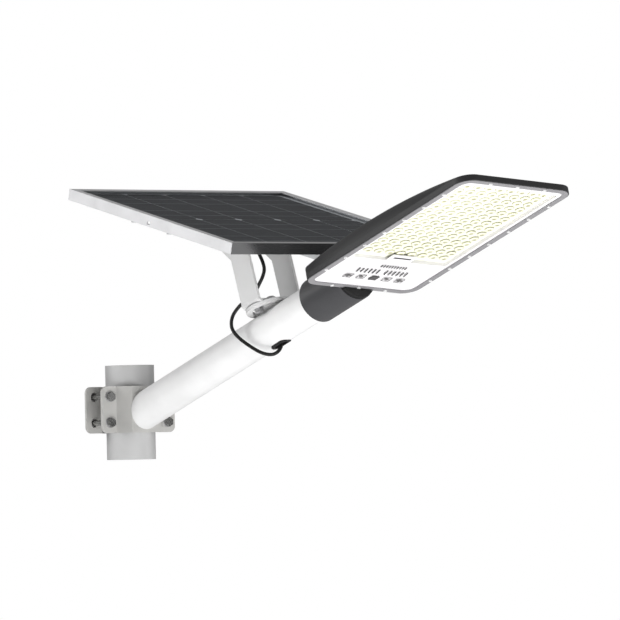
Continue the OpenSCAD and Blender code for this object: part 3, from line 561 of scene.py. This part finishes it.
# A row of boxed pictograms, then a row of tall strokes, then a row of small ones:
# pitch, half width, length and lean of each, and the gaps between rows
MARK_ROW, MARK_STEP, MARK_HALF, MARK_LINE = 0.036, 0.0232, 0.0068, 0.0010
DISC_SIDES, DISC_SHARE = 18, 0.48
CROSS_LONG, CROSS_WIDE, CROSS_HALF = 0.0045, 0.0052, 0.0016
TALL_GAP, TALL_STEP, TALL_HALF, TALL_LONG, TALL_LEAN = 0.0085, 0.0072, 0.0011, 0.0150, 0.0024
LOW_GAP, LOW_STEP, LOW_HALF, LOW_LONG, LOW_LEAN = 0.0245, 0.0048, 0.0009, 0.0085, 0.0014
LOW_ASIDE = 0.0035


def lens_marks():
    """Plain pictograms and rows of slanted strokes; nothing here is lettering."""
    verts, faces, dark_verts, dark_faces = [], [], [], []
    near, far = MARK_ROW, MARK_ROW + 2 * MARK_HALF
    for place in range(-2, 3):
        c = place * MARK_STEP
        if place == 0:
            prism(bar(near, far, c - MARK_HALF, c + MARK_HALF), dark_verts, dark_faces)
            continue
        prism(bar(near, near + MARK_LINE, c - MARK_HALF, c + MARK_HALF), verts, faces)
        prism(bar(far - MARK_LINE, far, c - MARK_HALF, c + MARK_HALF), verts, faces)
        for side in (-MARK_HALF, MARK_HALF - MARK_LINE):
            prism(bar(near, far, c + side, c + side + MARK_LINE), verts, faces)
        middle = near + MARK_HALF
        if place % 2:
            prism(disc(middle, c, MARK_HALF * DISC_SHARE), verts, faces)
        else:
            prism(bar(middle - CROSS_LONG, middle + CROSS_LONG, c - CROSS_HALF, c + CROSS_HALF),
                  verts, faces)
            prism(bar(middle - CROSS_HALF, middle + CROSS_HALF, c - CROSS_WIDE, c + CROSS_WIDE),
                  verts, faces)
    tall = far + TALL_GAP
    for stroke in range(-6, 7):
        if stroke:
            c = stroke * TALL_STEP
            prism(bar(tall, tall + TALL_LONG, c - TALL_HALF, c + TALL_HALF, TALL_LEAN),
                  dark_verts, dark_faces)
    low = tall + LOW_GAP
    for stroke in range(-5, 5):
        c = stroke * LOW_STEP - LOW_ASIDE
        prism(bar(low, low + LOW_LONG, c - LOW_HALF, c + LOW_HALF, LOW_LEAN),
              dark_verts, dark_faces)
    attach(new_piece("lens_marks", verts, faces, ["ink"], smooth=False), "head")
    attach(new_piece("lens_strokes", dark_verts, dark_faces, ["ink_dark"], smooth=False),
            "head")


led_domes()
lens_marks()

# ---------------------------------------------------------------- stage, light, camera

# The photo's camera: far off, turned about the pole, a little below the lamp and rolled.
# FIELD is the width in view at the target, in metres; the shifts are shares of the frame.
TARGET = Vector((0.300, 0.0, 0.230))
TURN = math.radians(36.72)
DROP = math.radians(1.58)
ROLL = math.radians(-1.304)
DISTANCE = 10.0
FIELD = 0.93939
SENSOR = 36.0
SHIFT_RIGHT, SHIFT_UP = 0.106887, -0.009016
VIEW = Vector((math.cos(TURN) * math.cos(DROP), -math.sin(TURN) * math.cos(DROP),
               -math.sin(DROP)))
SIDE = Vector((math.sin(TURN), math.cos(TURN), 0))
FRONT = Vector((math.cos(TURN), -math.sin(TURN), 0))
UP = Vector((0, 0, 1))

# The floor's half width, its depth under the lamp and its extra light to the camera
FLOOR_HALF, FLOOR_BELOW, FLOOR_LIFT = 14.0, 1.2, 0.50
# The sky's strength for everything but the camera
SKY = 0.30
# The card's distance from the panel's front bar, its width and its shift to the left
CARD_AWAY, CARD_SIZE, CARD_SHIFT = 0.55, 1.3, 0.76


def stage_square(name, corners, material):
    """A single flat face that belongs to the stage."""
    mesh = bpy.data.meshes.new(name)
    mesh.from_pydata(corners, [], [(0, 1, 2, 3)])
    square = bpy.data.objects.new(name, mesh)
    bpy.context.scene.collection.objects.link(square)
    square.data.materials.append(material)
    return square


def make_floor():
    """Pale paper, a little brighter to the camera and see-through from below."""
    half, z = FLOOR_HALF, CAD_BOX[0][2] - FLOOR_BELOW
    t = Tree("floor_paper")
    fibre = t.noise(40.0, 5.0)
    t.set(Base_Color=t.ramp(fibre, [(0.3, (0.90, 0.90, 0.90)), (0.7, (0.94, 0.94, 0.94))]),
          Roughness=0.9)
    path = t.nodes.new("ShaderNodeLightPath")
    t.set(Emission_Color=(1.0, 1.0, 1.0),
          Emission_Strength=t.span(path.outputs["Is Camera Ray"], 0.0, 1.0, 0.0, FLOOR_LIFT))
    clear = t.nodes.new("ShaderNodeBsdfTransparent")
    behind = t.nodes.new("ShaderNodeNewGeometry")
    mixer = t.nodes.new("ShaderNodeMixShader")
    t.put(mixer.inputs[0], behind.outputs["Backfacing"])
    t.links.new(t.shader.outputs["BSDF"], mixer.inputs[1])
    t.links.new(clear.outputs["BSDF"], mixer.inputs[2])
    t.links.new(mixer.outputs["Shader"], t.nodes["Material Output"].inputs["Surface"])
    stage_square("floor", [(-half, -half, z), (half, -half, z), (half, half, z),
                           (-half, half, z)], t.material)


def make_camera():
    """A long lens on the photo's line of sight."""
    level_up = VIEW.cross(SIDE)
    right = math.cos(ROLL) * SIDE + math.sin(ROLL) * level_up
    up = -math.sin(ROLL) * SIDE + math.cos(ROLL) * level_up
    data = bpy.data.cameras.new("camera")
    camera = bpy.data.objects.new("camera", data)
    bpy.context.scene.collection.objects.link(camera)
    turned = Matrix((right, up, VIEW)).transposed().to_4x4()
    camera.matrix_world = Matrix.Translation(TARGET + VIEW * DISTANCE) @ turned
    data.sensor_width = SENSOR
    data.lens = SENSOR * DISTANCE / FIELD
    data.shift_x, data.shift_y = SHIFT_RIGHT, SHIFT_UP
    data.clip_end = 60.0
    bpy.context.scene.camera = camera


def area_light(name, place, size, watts):
    """A square soft light aimed at the lamp."""
    data = bpy.data.lights.new(name, "AREA")
    data.energy, data.size = watts, size
    light = bpy.data.objects.new(name, data)
    bpy.context.scene.collection.objects.link(light)
    light.location = place
    light.rotation_euler = (TARGET - place).to_track_quat("-Z", "Y").to_euler()


def make_world():
    """White to the camera and a dimmer sky for everything else."""
    world = bpy.data.worlds.new("studio")
    bpy.context.scene.world = world
    world.use_nodes = True
    nodes, links = world.node_tree.nodes, world.node_tree.links
    back = nodes["Background"]
    back.inputs["Color"].default_value = (1, 1, 1, 1)
    path = nodes.new("ShaderNodeLightPath")
    sky = nodes.new("ShaderNodeMapRange")
    sky.inputs["To Min"].default_value = SKY
    sky.inputs["To Max"].default_value = 1.0
    links.new(path.outputs["Is Camera Ray"], sky.inputs["Value"])
    links.new(sky.outputs["Result"], back.inputs["Strength"])


def make_card():
    """A black card, seen only in reflections, that darkens the panel's front bar."""
    low, high = (Vector(corner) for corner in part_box("frame_front"))
    bar_middle = (low + high) / 2
    tilt = math.asin(PANEL_UP.x)
    normal = Vector((math.cos(tilt), 0, -math.sin(tilt)))
    bounce = 2 * VIEW.dot(normal) * normal - VIEW
    middle = bar_middle + bounce * CARD_AWAY + LEFT * CARD_SHIFT
    across = bounce.cross(LEFT).normalized() * CARD_SIZE / 2
    along = across.cross(bounce).normalized() * CARD_SIZE / 2
    t = Tree("card_black")
    t.set(Base_Color=(0.004, 0.004, 0.004), Roughness=1.0, Specular_IOR_Level=0.0)
    card = stage_square("card", [middle - along - across, middle + along - across,
                                 middle + along + across, middle - along + across], t.material)
    card.visible_camera = card.visible_diffuse = card.visible_shadow = False


make_floor()
make_camera()
make_world()
area_light("left", TARGET - SIDE * 2.7 + FRONT * 0.15 + UP * 0.9, size=1.5, watts=44)
area_light("right", TARGET + SIDE * 2.9 - FRONT * 0.1 + UP * 0.3, size=1.2, watts=17)
area_light("below", TARGET + FRONT * 1.2 + SIDE * 0.3 - UP * 1.1, size=1.6, watts=44)
area_light("above", TARGET + SIDE * 0.4 - FRONT * 0.6 + UP * 2.8, size=1.6, watts=14)
make_card()
bpy.context.scene.view_settings.view_transform = "Standard"
